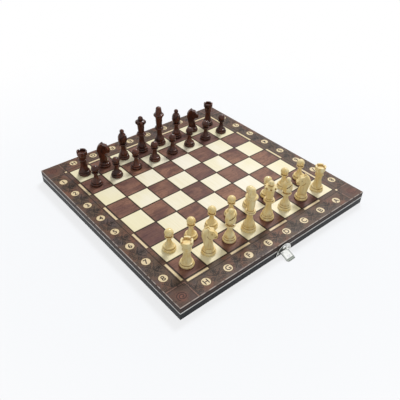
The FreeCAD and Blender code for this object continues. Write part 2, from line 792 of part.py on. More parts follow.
def rook():
    pen = Pen(0, 0)
    draw_foot(pen, ROOK_FOOT_R)
    pen.curve(ROOK_STEM_R, ROOK_COLLAR_Z, -ROOK_SKIRT_SWEEP)
    draw_collar(pen, ROOK_COLLAR_R, ROOK_COLLAR_H)
    pen.line(ROOK_HEAD_FOOT_R, ROOK_COLLAR_Z + ROOK_COLLAR_H)
    pen.curve(ROOK_HEAD_R, ROOK_H - ROOK_RIM_H, -ROOK_HEAD_SWEEP)
    pen.line(ROOK_HEAD_R, ROOK_H)
    pen.line(ROOK_CUP_R, ROOK_H)
    pen.line(ROOK_CUP_R, ROOK_H - ROOK_CUP_DEPTH)
    pen.line(0, ROOK_H - ROOK_CUP_DEPTH)
    half = ROOK_NOTCH_W / 2
    notches = []
    for index in range(ROOK_NOTCHES):
        notch = box(-ROOK_HEAD_R, ROOK_HEAD_R, -half, half, ROOK_H - ROOK_NOTCH_DEPTH, ROOK_H)
        notches.append(notch.rotate(ORIGIN, AXIS_Z, index * HALF_TURN / ROOK_NOTCHES))
    return pen.turned().cut(notches)


def pawn():
    head_z = PAWN_H - PAWN_HEAD_R
    neck_z = head_z - ball_drop(PAWN_HEAD_R, PAWN_HEAD_NECK_R)
    pen = Pen(0, 0)
    draw_foot(pen, PAWN_FOOT_R)
    pen.curve(PAWN_STEM_R, neck_z - PAWN_COLLAR_H, -PAWN_SKIRT_SWEEP)
    draw_collar(pen, PAWN_COLLAR_R, PAWN_COLLAR_H)
    pen.curve(PAWN_HEAD_R, head_z, ball_bulge(PAWN_HEAD_R, PAWN_HEAD_NECK_R))
    pen.curve(0, PAWN_H, dome_bulge(PAWN_HEAD_R, PAWN_HEAD_R))
    return pen.turned()


def knight_pedestal():
    top = FOOT_H + RING_H + KNIGHT_PEDESTAL_H
    pen = Pen(0, 0)
    draw_foot(pen, KNIGHT_FOOT_R)
    pen.line(KNIGHT_PEDESTAL_R, top)
    pen.line(0, top)
    return pen.turned()


def knight_side():
    """Side view of the horse's head and neck, muzzle towards +X, drawn from the chest round."""
    foot = FOOT_H + RING_H
    pen = Pen(-KNIGHT_BACK_REACH, foot)
    pen.line(KNIGHT_CHEST_REACH, foot)
    pen.curve(KNIGHT_THROAT_REACH, KNIGHT_H - KNIGHT_THROAT_DOWN, KNIGHT_CHEST_BULGE)
    pen.curve(KNIGHT_CHIN_REACH, KNIGHT_H - KNIGHT_CHIN_DOWN, -KNIGHT_THROAT_SWEEP)
    pen.curve(KNIGHT_NOSE_REACH, KNIGHT_H - KNIGHT_NOSE_DOWN, KNIGHT_NOSE_BULGE)
    pen.curve(KNIGHT_BROW_REACH, KNIGHT_H - KNIGHT_BROW_DOWN, -KNIGHT_FACE_SWEEP)
    pen.line(KNIGHT_EAR_FRONT_REACH, KNIGHT_H - KNIGHT_EAR_FRONT_DOWN)
    pen.line(-KNIGHT_EAR_TIP_BACK, KNIGHT_H)
    pen.line(-KNIGHT_EAR_FOOT_BACK, KNIGHT_H - KNIGHT_EAR_FOOT_DOWN)
    pen.curve(-KNIGHT_MANE_REACH, KNIGHT_H - KNIGHT_MANE_DOWN, KNIGHT_MANE_BULGE)
    pen.curve(-KNIGHT_BACK_REACH, foot, -KNIGHT_BACK_SWEEP)
    return Part.Face(Part.Wire(pen.edges))


def knight_plan_taper():
    """Seen from above, the cheeks run together towards the nose."""
    reach = KNIGHT_NOSE_REACH + KNIGHT_NOSE_BULGE
    back = KNIGHT_MANE_REACH + KNIGHT_MANE_BULGE
    half = KNIGHT_T / 2
    nose = KNIGHT_NOSE_T / 2
    outline = [(-back, -half), (0, -half), (reach, -nose), (reach, nose), (0, half), (-back, half)]
    return prism(outline, 0, KNIGHT_H)


def knight_front_taper():
    """Seen from the front, the sides lean in towards the ears, with a split between the ears."""
    reach = KNIGHT_NOSE_REACH + KNIGHT_MANE_REACH
    foot = FOOT_H + RING_H
    half = KNIGHT_T / 2
    ear = KNIGHT_EAR_T / 2
    split = KNIGHT_EAR_SPLIT_W / 2
    split_z = KNIGHT_H - KNIGHT_EAR_SPLIT_H
    loop = [
        V(-reach, -half, foot),
        V(-reach, half, foot),
        V(-reach, ear, KNIGHT_H),
        V(-reach, split, KNIGHT_H),
        V(-reach, 0, split_z),
        V(-reach, -split, KNIGHT_H),
        V(-reach, -ear, KNIGHT_H),
    ]
    face = Part.Face(Part.makePolygon(loop + loop[:1]))
    return face.extrude(V(2 * reach, 0, 0))


def knight_neck_clip():
    """Cone that rounds the foot of the neck to the size of the ring under it."""
    low = FOOT_H + RING_H
    rise = KNIGHT_H - low
    return Part.makeCone(KNIGHT_NECK_R, KNIGHT_NECK_R + rise, rise, V(0, 0, low))


def is_cheek(face):
    """Flat side of the head or neck."""
    return isinstance(face.Surface, Part.Plane) and abs(face.normalAt(0, 0).y) > CHEEK_SQUARENESS


def shared_edges(face, other):
    return [edge for edge in face.Edges if any(edge.isSame(mate) for mate in other.Edges)]


def eased_head(head):
    """Round the curved mane and back over into the flat sides."""
    curved = [face for face in head.Faces if isinstance(face.Surface, Part.Cylinder)]
    edges = []
    for cheek in [face for face in head.Faces if is_cheek(face)]:
        for face in curved:
            if face.CenterOfMass.x < 0:
                edges += shared_edges(cheek, face)
    return head.makeFillet(KNIGHT_MANE_EASE, edges)


def drilled_sides(radius, reach, down, span):
    """Shallow round hole in each side of the head."""
    holes = []
    for side in (-1, 1):
        at = V(reach, side * span / 2, KNIGHT_H - down)
        holes.append(Part.makeCylinder(radius, KNIGHT_T, at, V(0, side, 0)))
    return holes


def knight_eyes():
    return drilled_sides(KNIGHT_EYE_R, KNIGHT_EYE_REACH, KNIGHT_EYE_DOWN, KNIGHT_EYE_SPAN)


def knight_nostrils():
    return drilled_sides(KNIGHT_NOSTRIL_R, KNIGHT_NOSTRIL_REACH, KNIGHT_NOSTRIL_DOWN, KNIGHT_NOSTRIL_SPAN)


def knight_jaw_lines():
    """Curved groove behind and under the jaw on each side."""
    outer = drilled_sides(KNIGHT_JAW_R, KNIGHT_JAW_REACH, KNIGHT_JAW_DOWN, KNIGHT_JAW_SPAN)
    inner = drilled_sides(KNIGHT_JAW_R - KNIGHT_JAW_W, KNIGHT_JAW_REACH, KNIGHT_JAW_DOWN, KNIGHT_JAW_SPAN)
    middle_z = KNIGHT_H - KNIGHT_JAW_DOWN
    back = KNIGHT_JAW_REACH - KNIGHT_JAW_R
    reach = 2 * KNIGHT_T
    behind = box(back, KNIGHT_JAW_REACH, -reach, reach, middle_z - KNIGHT_JAW_R, middle_z)
    return [disc.cut(core).common(behind) for disc, core in zip(outer, inner)]


def knight_mouth():
    """Thin cut from the nose back along the jaw."""
    z = KNIGHT_H - (KNIGHT_CHIN_DOWN + KNIGHT_NOSE_DOWN) / 2
    x0 = KNIGHT_NOSE_REACH - KNIGHT_MOUTH_LENGTH
    x1 = KNIGHT_NOSE_REACH + KNIGHT_T
    return box(x0, x1, -KNIGHT_T, KNIGHT_T, z - KNIGHT_MOUTH_T / 2, z + KNIGHT_MOUTH_T / 2)


def knight_mane_cuts():
    """Row of round notches down the back of the mane."""
    top = V(-KNIGHT_EAR_FOOT_BACK, 0, KNIGHT_H - KNIGHT_EAR_FOOT_DOWN)
    low = V(-KNIGHT_MANE_REACH, 0, KNIGHT_H - KNIGHT_MANE_DOWN)
    run = low.sub(top)
    out = V(run.z, 0, -run.x).normalize()
    lift = out * (KNIGHT_MANE_BULGE + KNIGHT_MANE_CUT_R - KNIGHT_MANE_CUT_DEEP)
    cuts = []
    for index in range(KNIGHT_MANE_CUTS):
        at = top.add(run * ((index + 0.5) / KNIGHT_MANE_CUTS)).add(lift)
        cuts.append(Part.makeCylinder(KNIGHT_MANE_CUT_R, 2 * KNIGHT_T, at.add(V(0, -KNIGHT_T, 0)), AXIS_Y))
    return cuts


def knight():
    side = knight_side().extrude(V(0, KNIGHT_T, 0))
    side.translate(V(0, -KNIGHT_T / 2, 0))
    head = eased_head(side.common(knight_plan_taper()).common(knight_front_taper()))
    head = head.cut([knight_mouth()] + knight_mane_cuts())
    head = head.cut(knight_eyes() + knight_nostrils() + knight_jaw_lines())
    return fused([knight_pedestal(), head.common(knight_neck_clip())])


def facing(node):
    """Angle that a man is turned by. One light knight looks the other way."""
    if node == TURNED_KNIGHT:
        return KNIGHT_FACING_DEG + HALF_TURN
    if "knight" in node:
        return KNIGHT_FACING_DEG
    if "bishop" in node:
        return BISHOP_SLIT_FACING_DEG
    return 0


def stood_on(shape, file_index, rank_index, turn):
    x, y = square_middle(file_index, rank_index)
    man = shape.copy()
    man.rotate(ORIGIN, AXIS_Z, turn)
    man.translate(V(x, y, BOARD_H + STAND_GAP))
    return man


def set_of_men(colour, home_rank, pawn_rank, king_file, queen_file):
    """Sixteen men of one colour, the officers on the home rank and the pawns before them."""
    men = {}
    officers = {"rook": rook(), "knight": knight(), "bishop": bishop()}
    stands = {"rook": "ha", "knight": "gb", "bishop": "fc"}
    for name, files in stands.items():
        for letter in files:
            node = colour + "_" + name + "_" + letter
            men[node] = stood_on(officers[name], FILES.index(letter), home_rank, facing(node))
    men[colour + "_king"] = stood_on(king(), FILES.index(king_file), home_rank, 0)
    men[colour + "_queen"] = stood_on(queen(), FILES.index(queen_file), home_rank, 0)
    foot_soldier = pawn()
    for file_index, letter in enumerate(FILES):
        men[colour + "_pawn_" + letter] = stood_on(foot_soldier, file_index, pawn_rank, 0)
    return men


def wooden_half():
    """The wooden pieces of the near half, by their names without the half."""
    return {
        "panel": near_panel(),
        "outer_rail": near_front_rail(),
        "hinge_rail": near_hinge_rail(),
        "left_rail": near_side_rail(-1),
        "right_rail": near_side_rail(1),
        "light_squares": Part.makeCompound(light_squares(0)),
        "border_inlay": Part.makeCompound(border_inlay(0)),
        "edge_line": edge_line(0),
        "points": Part.makeCompound(backgammon_points(0)),
        "screws": near_screws(),
    }


def all_nodes():
    nodes = {}
    opposite = {"left_rail": "right_rail", "right_rail": "left_rail"}
    for name, shape in wooden_half().items():
        nodes["near_" + name] = shape
        nodes["far_" + opposite.get(name, name)] = turned_round(shape)
    nodes["near_hinge_leaves"] = near_hinge_leaves()
    nodes["far_hinge_leaves"] = far_hinge_leaves()
    nodes["hinge_pins"] = hinge_pins()
    nodes["clasp_plate"] = clasp_plate()
    nodes["clasp_pin"] = clasp_pin()
    nodes["clasp_tongue"] = clasp_tongue()
    nodes["clasp_catch"] = clasp_catch()
    last_rank = 2 * RANKS_PER_HALF - 1
    nodes.update(set_of_men("light", 0, 1, "e", "d"))
    nodes.update(set_of_men("dark", last_rank, last_rank - 1, "d", "e"))
    return nodes


os.makedirs("parts", exist_ok=True)
for node, shape in all_nodes().items():
    shape.exportStep("parts/" + node + ".step")
    print(node, len(shape.Solids), shape.isValid(), round(shape.Volume, 2))
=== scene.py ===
import math

import bpy
from mathutils import Matrix, Vector


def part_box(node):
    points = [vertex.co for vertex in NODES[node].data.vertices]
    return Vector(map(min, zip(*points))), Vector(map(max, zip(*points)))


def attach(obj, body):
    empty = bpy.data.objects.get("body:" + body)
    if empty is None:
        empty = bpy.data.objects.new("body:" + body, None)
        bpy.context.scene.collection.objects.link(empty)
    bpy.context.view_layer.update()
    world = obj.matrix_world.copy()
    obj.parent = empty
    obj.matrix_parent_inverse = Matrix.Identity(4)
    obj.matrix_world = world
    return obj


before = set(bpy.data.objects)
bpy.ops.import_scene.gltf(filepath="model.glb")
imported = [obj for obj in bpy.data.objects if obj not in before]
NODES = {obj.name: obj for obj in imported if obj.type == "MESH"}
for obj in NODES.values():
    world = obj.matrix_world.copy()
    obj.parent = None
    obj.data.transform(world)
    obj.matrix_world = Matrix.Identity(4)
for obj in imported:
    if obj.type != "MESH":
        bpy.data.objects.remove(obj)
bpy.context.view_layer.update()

MM = 0.001
SMOOTH = {"interpolation_type": "SMOOTHSTEP"}

# Board: boxes are measured on the solids, small sizes are those of the part's source
PANEL_LOW, PANEL_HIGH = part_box("near_panel")
TOP = PANEL_HIGH.z
FLOOR_OF_TRAY = PANEL_LOW.z
HALF = PANEL_HIGH.x
LINE = 1.6 * MM
FIELD_HALF = LINE / 2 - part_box("near_light_squares")[0].x
FILES = "HGFEDCBA"
SQUARE = 2 * FIELD_HALF / len(FILES)
MEDALLION_R = 5.2 * MM
MEDALLION_OUT = -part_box("near_border_inlay")[0].y - MEDALLION_R
STRING_LOW, STRING_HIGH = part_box("near_edge_line")
POINTS_LOW, POINTS_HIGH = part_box("near_points")
POINTS_PER_SIDE = 6
SHEET_T = 0.7 * MM
PLATE_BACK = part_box("clasp_plate")[1].y
TONGUE_LOW, TONGUE_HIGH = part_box("clasp_tongue")

# Stained lines, worn places and painted shade. Names that end in MM are in millimetres, as the patterns are.
ARRIS = 0.7 * MM
WALL_STARTS = 1.4 * ARRIS
FRAME_LINE_OUT = 5.6 * MM
CORNER_STRIP = 2.4 * MM
GROOVE_REACH = 2.5 * MM
TONGUE_TIP = 4.0 * MM
TONGUE_FLAT_SHARE = 0.55
LINE_BLUR_MM = 0.2
CELL_LINE_MM = 0.5
FRAME_LINE_MM = 0.6
STRIP_LINE_MM = 0.7
STRIP_GROOVE_MM = 1.5
BORDER_STARTS_MM = 0.2
BORDER_FULL_MM = 0.8
CORNER_FULL_MM = 1.0
GLOW_STARTS_MM = 3.0
GLOW_ENDS_MM = 9.0
STAIN_BLEEDS_MM = 0.55
TRAY_STARTS_MM = 0.1
TRAY_ENDS_MM = 0.3
RAIL_SKIN_MM = 0.4
RAIL_INSIDE_MM = 0.6
DISH_STARTS_MM = 0.05
DISH_ENDS_MM = 0.2
TIP_BLUR_MM = 1.0

# Burnt and printed lines on the border
INK_SINK = 0.02 * MM
INK_RISE = 0.05 * MM
CHARACTER_H = 6.2 * MM
CHARACTER_BOLD = 0.16 * MM
CHARACTER_STEPS = 6
CAPITAL_SHARE = 0.7
RING_LINE = 0.55 * MM
RING_STEPS = 40
SCROLL_LINE = 0.7 * MM
CURL_TURNS = (2.2 * MM, 1.5 * MM, 0.8 * MM)
CURL_STEPS = 8
INNER_CURL = (10.4 * MM, 2.3 * MM)
OUTER_CURL = (13.8 * MM, 6.6 * MM)
CHEVRON_HALF_W = 5.6 * MM
CHEVRON_H = 8.0 * MM
CHEVRON_TIP = 14.2 * MM
CORNER_TURNS = (5.2 * MM, 4.0 * MM, 2.8 * MM, 1.6 * MM)
CORNER_LINE = 1.1 * MM

# Camera, found from the corners of the squares in the photograph
CAMERA_AT = Vector((-0.3259, -0.3776, 0.3791))
CAMERA_LOOK = Vector((0.51529, 0.59294, -0.61879))
CAMERA_ROLL = math.radians(1.38)
CAMERA_LENS = 43.68
SENSOR_W = 36.0

# Floor and light
FLOOR_SIZE = 8.0
FLOOR_DROP = 0.03 * MM
FLOOR_SHOWN = 0.24
FLOOR_NEAR = 0.18
FLOOR_FAR = 0.55
WORLD_LIGHT = 0.5
LAMP_AT = Vector((1.8, 1.0, 2.6))
LAMP_SIZE = 0.9
LAMP_POWER = 68.0


def linear(hex_text):
    """Linear colour with alpha of an sRGB hex value."""
    channels = [int(hex_text[i:i + 2], 16) / 255 for i in (1, 3, 5)]
    return [c / 12.92 if c <= 0.04045 else ((c + 0.055) / 1.055) ** 2.4 for c in channels] + [1.0]


def add(tree, kind, settings, inputs):
    """Add a node. An input is a plain value, a node whose first output is linked, or a socket."""
    node = tree.nodes.new("ShaderNode" + kind)
    for name, value in settings.items():
        setattr(node, name, value)
    for name, value in inputs.items():
        if isinstance(value, bpy.types.Node):
            value = value.outputs[0]
        if isinstance(value, bpy.types.NodeSocket):
            tree.links.new(value, node.inputs[name])
        else:
            node.inputs[name].default_value = value
    return node


def start_material(name, roughness, **constants):
    """Material with its tree, and its shader with what is the same all over it."""
    material = bpy.data.materials.new(name)
    material.use_nodes = True
    shader = material.node_tree.nodes["Principled BSDF"]
    shader.inputs["Roughness"].default_value = roughness
    for socket, value in constants.items():
        shader.inputs[socket.replace("_", " ")].default_value = value
    return material, material.node_tree, shader


def finish_material(tree, shader, colour, height, depth_mm, gloss=None, roughness=None):
    """Link the colour, a bump of the given depth and, by a pattern, the roughness to the shader."""
    tree.links.new(colour.outputs[0], shader.inputs["Base Color"])
    bump = add(tree, "Bump", {}, {"Strength": 1.0, "Distance": depth_mm * MM, "Height": height})
    tree.links.new(bump.outputs[0], shader.inputs["Normal"])
    if gloss is not None:
        rough = add(tree, "MapRange", {}, {"Value": gloss, "To Min": roughness[0], "To Max": roughness[1]})
        tree.links.new(rough.outputs[0], shader.inputs["Roughness"])


def place_in_mm(tree, lengths=(1, 1, 1)):
    """Place on the object in millimetres, each axis divided by the pattern's length along it."""
    at = add(tree, "TexCoord", {}, {}).outputs["Object"]
    scale = [1 / (MM * length) for length in lengths]
    return add(tree, "Mapping", {"vector_type": "POINT"}, {"Vector": at, "Scale": scale})


def axes_in_mm(tree):
    """X, Y and Z on the object in millimetres."""
    split = add(tree, "SeparateXYZ", {}, {"Vector": place_in_mm(tree)})
    return split.outputs["X"], split.outputs["Y"], split.outputs["Z"]


def grain(tree, lengths, detail, distortion=0.0):
    """Uneven pattern with the given millimetres along X, Y and Z, drawn out where wood fibres run."""
    at = place_in_mm(tree, lengths)
    return add(
        tree, "TexNoise", {},
        {"Vector": at, "Scale": 1.0, "Detail": detail, "Distortion": distortion},
    )


def from_line(tree, axis):
    """Distance in millimetres from the nearest line of the chess field along one axis."""
    cells = add(tree, "Math", {"operation": "MULTIPLY_ADD"}, {0: axis, 1: MM / SQUARE, 2: len(FILES) / 2})
    part = add(tree, "Math", {"operation": "FRACT"}, {0: cells})
    from_middle = add(tree, "Math", {"operation": "SUBTRACT"}, {0: part, 1: 0.5})
    half = add(tree, "Math", {"operation": "ABSOLUTE"}, {0: from_middle})
    cell_mm = SQUARE / MM
    return add(tree, "Math", {"operation": "MULTIPLY_ADD"}, {0: half, 1: -cell_mm, 2: cell_mm / 2})


def from_nearest_line(tree, x, y):
    """Distance in millimetres from the nearest line of the chess field along either axis."""
    return add(tree, "Math", {"operation": "MINIMUM"}, {0: from_line(tree, x), 1: from_line(tree, y)})


def from_centre(tree, x, y):
    """Distance in millimetres from the middle of the board, measured square to its sides."""
    abs_x = add(tree, "Math", {"operation": "ABSOLUTE"}, {0: x})
    abs_y = add(tree, "Math", {"operation": "ABSOLUTE"}, {0: y})
    return add(tree, "Math", {"operation": "MAXIMUM"}, {0: abs_x, 1: abs_y})


def square_tone(tree):
    """One random value for each square of the field."""
    size = SQUARE / MM
    at = place_in_mm(tree, (size, size, size))
    whole = add(tree, "VectorMath", {"operation": "FLOOR"}, {0: at})
    return add(tree, "TexWhiteNoise", {"noise_dimensions": "2D"}, {"Vector": whole})


def stained_squares(tree):
    """Curly red-brown burl, each square with a tone of its own."""
    cloud = grain(tree, (30, 17, 30), detail=5.0, distortion=0.8)
    burl = grain(tree, (8, 5, 8), detail=6.0, distortion=2.2)
    light = add(tree, "MapRange", SMOOTH, {"Value": cloud, "From Min": 0.3, "From Max": 0.7})
    colour = add(tree, "MixRGB", {}, {0: light, 1: linear("#64433C"), 2: linear("#A0745C")})
    curls = add(
        tree, "MapRange", SMOOTH,
        {"Value": burl, "From Min": 0.45, "From Max": 0.75, "To Max": 0.65},
    )
    colour = add(tree, "MixRGB", {}, {0: curls, 1: colour, 2: linear("#4A2A22")})
    flame = grain(tree, (26, 3.4, 8), detail=4.0, distortion=1.4)
    warm = add(tree, "MapRange", SMOOTH, {"Value": flame, "From Min": 0.55, "From Max": 0.75, "To Max": 0.6})
    colour = add(tree, "MixRGB", {}, {0: warm, 1: colour, 2: linear("#9E6C53")})
    tone = add(tree, "Math", {"operation": "MULTIPLY"}, {0: square_tone(tree), 1: 0.6})
    return add(tree, "MixRGB", {}, {0: tone, 1: colour, 2: linear("#634647")})


def stained_border(tree, x, y):
    """Cloudy brown stain with reddish and bluish patches and a fine mottle. The corner cells are darker,
    with a pale strip between dark lines along their two inner sides and a red glow in the middle."""
    patches = grain(tree, (24, 34, 30), detail=3.0, distortion=1.0)
    cool = grain(tree, (17, 17, 17), detail=3.0, distortion=0.6)
    mottle = grain(tree, (2.2, 2.2, 2.2), detail=5.0, distortion=1.6)
    red = add(tree, "MapRange", SMOOTH, {"Value": patches, "From Min": 0.4, "From Max": 0.66})
    colour = add(tree, "MixRGB", {}, {0: red, 1: linear("#625042"), 2: linear("#7C5644")})
    blue = add(tree, "MapRange", SMOOTH, {"Value": cool, "From Min": 0.5, "From Max": 0.7, "To Max": 0.6})
    colour = add(tree, "MixRGB", {}, {0: blue, 1: colour, 2: linear("#564E52")})
    abs_x = add(tree, "Math", {"operation": "ABSOLUTE"}, {0: x})
    abs_y = add(tree, "Math", {"operation": "ABSOLUTE"}, {0: y})
    inner = add(tree, "Math", {"operation": "MINIMUM"}, {0: abs_x, 1: abs_y})
    field = FIELD_HALF / MM
    corner = add(
        tree, "MapRange", SMOOTH,
        {"Value": inner, "From Min": field, "From Max": field + CORNER_FULL_MM, "To Max": 0.5},
    )
    colour = add(tree, "MixRGB", {}, {0: corner, 1: colour, 2: linear("#5A4039")})
    outer = add(tree, "Math", {"operation": "MAXIMUM"}, {0: abs_x, 1: abs_y})
    both = add(tree, "CombineXYZ", {}, {"X": inner, "Y": outer})
    corner_mm = MEDALLION_OUT / MM
    away = add(tree, "VectorMath", {"operation": "DISTANCE"}, {0: both, 1: (corner_mm, corner_mm, 0)})
    glow = add(
        tree, "MapRange", SMOOTH,
        {"Value": away.outputs["Value"], "From Min": GLOW_STARTS_MM, "From Max": GLOW_ENDS_MM,
         "To Min": 0.6, "To Max": 0.0},
    )
    colour = add(tree, "MixRGB", {}, {0: glow, 1: colour, 2: linear("#8E5848")})
    past_strip = add(tree, "Math", {"operation": "SUBTRACT"}, {0: inner, 1: field + CORNER_STRIP / MM})
    off_strip = add(tree, "Math", {"operation": "ABSOLUTE"}, {0: past_strip})
    groove = add(
        tree, "MapRange", SMOOTH,
        {"Value": off_strip, "From Min": STRIP_GROOVE_MM - LINE_BLUR_MM,
         "From Max": STRIP_GROOVE_MM + LINE_BLUR_MM, "To Min": 0.75, "To Max": 0.0},
    )
    colour = add(tree, "MixRGB", {}, {0: groove, 1: colour, 2: linear("#2A2019")})
    strip = add(
        tree, "MapRange", SMOOTH,
        {"Value": off_strip, "From Min": STRIP_LINE_MM - LINE_BLUR_MM,
         "From Max": STRIP_LINE_MM + LINE_BLUR_MM, "To Min": 0.8, "To Max": 0.0},
    )
    colour = add(tree, "MixRGB", {}, {0: strip, 1: colour, 2: linear("#9C7767")})
    dark = add(tree, "MapRange", SMOOTH, {"Value": mottle, "From Min": 0.5, "From Max": 0.66, "To Max": 0.6})
    return add(tree, "MixRGB", {}, {0: dark, 1: colour, 2: linear("#33281F")})


def stained_panel():
    """Birch panel, stained and printed, under satin lacquer: curly red-brown squares between dark
    lines, a duller brown border, wood worn pale along the top edge."""
    material, tree, shader = start_material("stained_panel", roughness=0.4, Specular_IOR_Level=0.14)
    x, y, z = axes_in_mm(tree)
    ring = from_centre(tree, x, y)
    field = FIELD_HALF / MM
    fibre = grain(tree, (22, 0.9, 2), detail=4.0)
    in_border = add(
        tree, "MapRange", SMOOTH,
        {"Value": ring, "From Min": field + BORDER_STARTS_MM, "From Max": field + BORDER_FULL_MM},
    )
    colour = add(tree, "MixRGB", {}, {0: in_border, 1: stained_squares(tree), 2: stained_border(tree, x, y)})
    pores = add(tree, "MapRange", SMOOTH, {"Value": fibre, "From Min": 0.4, "From Max": 0.8, "To Max": 0.4})
    colour = add(tree, "MixRGB", {}, {0: pores, 1: colour, 2: linear("#2E1D1A")})

    grid = from_nearest_line(tree, x, y)
    edge = LINE / MM / 2
    field_line = add(
        tree, "MapRange", SMOOTH,
        {"Value": grid, "From Min": edge - LINE_BLUR_MM, "From Max": edge + LINE_BLUR_MM,
         "To Min": 1.0, "To Max": 0.0},
    )
    cell_line = add(
        tree, "MapRange", SMOOTH,
        {"Value": grid, "From Min": CELL_LINE_MM - LINE_BLUR_MM, "From Max": CELL_LINE_MM + LINE_BLUR_MM,
         "To Min": 0.6, "To Max": 0.0},
    )
    line = add(tree, "MixRGB", {}, {0: in_border, 1: field_line, 2: cell_line})
    frame_at = (FIELD_HALF + FRAME_LINE_OUT) / MM
    past_frame = add(tree, "Math", {"operation": "SUBTRACT"}, {0: ring, 1: frame_at})
    off_frame = add(tree, "Math", {"operation": "ABSOLUTE"}, {0: past_frame})
    frame_line = add(
        tree, "MapRange", SMOOTH,
        {"Value": off_frame, "From Min": FRAME_LINE_MM - LINE_BLUR_MM,
         "From Max": FRAME_LINE_MM + LINE_BLUR_MM, "To Min": 0.7, "To Max": 0.0},
    )
    lines = add(tree, "Math", {"operation": "MAXIMUM"}, {0: line, 1: frame_line})
    colour = add(tree, "MixRGB", {}, {0: lines, 1: colour, 2: linear("#231C14")})

    worn = grain(tree, (5, 5, 5), detail=3.0)
    wear = add(tree, "MapRange", SMOOTH, {"Value": worn, "From Min": 0.3, "From Max": 0.55})
    at_edge = add(
        tree, "MapRange", SMOOTH,
        {"Value": ring, "From Min": (HALF - ARRIS) / MM, "From Max": (HALF - ARRIS / 2) / MM},
    )
    bare = add(tree, "Math", {"operation": "MULTIPLY"}, {0: at_edge, 1: wear})
    colour = add(tree, "MixRGB", {}, {0: bare, 1: colour, 2: linear("#CDBFB4")})
    wall_tone = add(tree, "MixRGB", {}, {0: fibre, 1: linear("#1E1412"), 2: linear("#3A2721")})
    on_wall = add(
        tree, "MapRange", SMOOTH,
        {"Value": z, "From Min": (TOP - WALL_STARTS) / MM, "From Max": (TOP - ARRIS) / MM,
         "To Min": 1.0, "To Max": 0.0},
    )
    colour = add(tree, "MixRGB", {}, {0: on_wall, 1: colour, 2: wall_tone})
    figure = grain(tree, (34, 15, 30), detail=5.0, distortion=0.6)
    tray = add(tree, "MixRGB", {}, {0: figure, 1: linear("#5E3B2E"), 2: linear("#8C5E47")})
    tray_floor = FLOOR_OF_TRAY / MM
    in_tray = add(
        tree, "MapRange", SMOOTH,
        {"Value": z, "From Min": tray_floor + TRAY_STARTS_MM, "From Max": tray_floor + TRAY_ENDS_MM,
         "To Min": 1.0, "To Max": 0.0},
    )
    colour = add(tree, "MixRGB", {}, {0: in_tray, 1: colour, 2: tray})
    height = add(tree, "Math", {"operation": "SUBTRACT"}, {0: fibre, 1: lines})
    finish_material(tree, shader, colour, height, depth_mm=0.06, gloss=fibre, roughness=(0.36, 0.52))
    return material


def pale_veneer(name, clear, fibrous, deep, bleach):
    """Maple veneer under satin lacquer: cream, with faint fibres, a tone of its own on each square, a
    painted yellow reflection and shade of the men towards the outer squares, and the stain of the lines
    along its edges."""
    material, tree, shader = start_material(name, roughness=0.4, Specular_IOR_Level=0.3)
    x, y = axes_in_mm(tree)[:2]
    fibre = grain(tree, (1.1, 26, 4), detail=5.0, distortion=0.3)
    cloud = grain(tree, (30, 40, 30), detail=2.0)
    streak = add(tree, "MapRange", SMOOTH, {"Value": fibre, "From Min": 0.3, "From Max": 0.75})
    colour = add(tree, "MixRGB", {}, {0: streak, 1: linear(clear), 2: linear(fibrous)})
    tone = add(tree, "Math", {"operation": "MULTIPLY"}, {0: square_tone(tree), 1: 0.4})
    colour = add(tree, "MixRGB", {}, {0: tone, 1: colour, 2: linear(deep)})
    bleached = add(
        tree, "MapRange", SMOOTH,
        {"Value": cloud, "From Min": 0.4, "From Max": 0.7, "To Max": 0.5},
    )
    colour = add(tree, "MixRGB", {}, {0: bleached, 1: colour, 2: linear(bleach)})
    field = FIELD_HALF / MM
    # Painted reflection and shade of the men: the outer squares, where they stand, are mixed towards the
    # deeper yellow.
    painted_men_reflection = add(
        tree, "MapRange", SMOOTH,
        {"Value": from_centre(tree, x, y), "From Min": field / 2, "From Max": field, "To Max": 0.6},
    )
    colour = add(tree, "MixRGB", {}, {0: painted_men_reflection, 1: colour, 2: linear(deep)})
    edge = LINE / MM / 2
    stain = add(
        tree, "MapRange", SMOOTH,
        {"Value": from_nearest_line(tree, x, y), "From Min": edge, "From Max": edge + STAIN_BLEEDS_MM,
         "To Min": 1.0, "To Max": 0.0},
    )
    colour = add(tree, "MixRGB", {}, {0: stain, 1: colour, 2: linear("#B79D6C")})
    finish_material(tree, shader, colour, fibre, depth_mm=0.03, gloss=fibre, roughness=(0.34, 0.48))
    return material


def stringing():
    """Thin line of bleached maple in the walls, cream-white and slightly soiled."""
    material, tree, shader = start_material("stringing", roughness=0.45)
    soil = grain(tree, (18, 18, 3), detail=4.0)
    dull = add(tree, "MapRange", SMOOTH, {"Value": soil, "From Min": 0.4, "From Max": 0.75})
    colour = add(tree, "MixRGB", {}, {0: dull, 1: linear("#FDFAF2"), 2: linear("#DDD6CA")})
    finish_material(tree, shader, colour, soil, depth_mm=0.03)
    return material


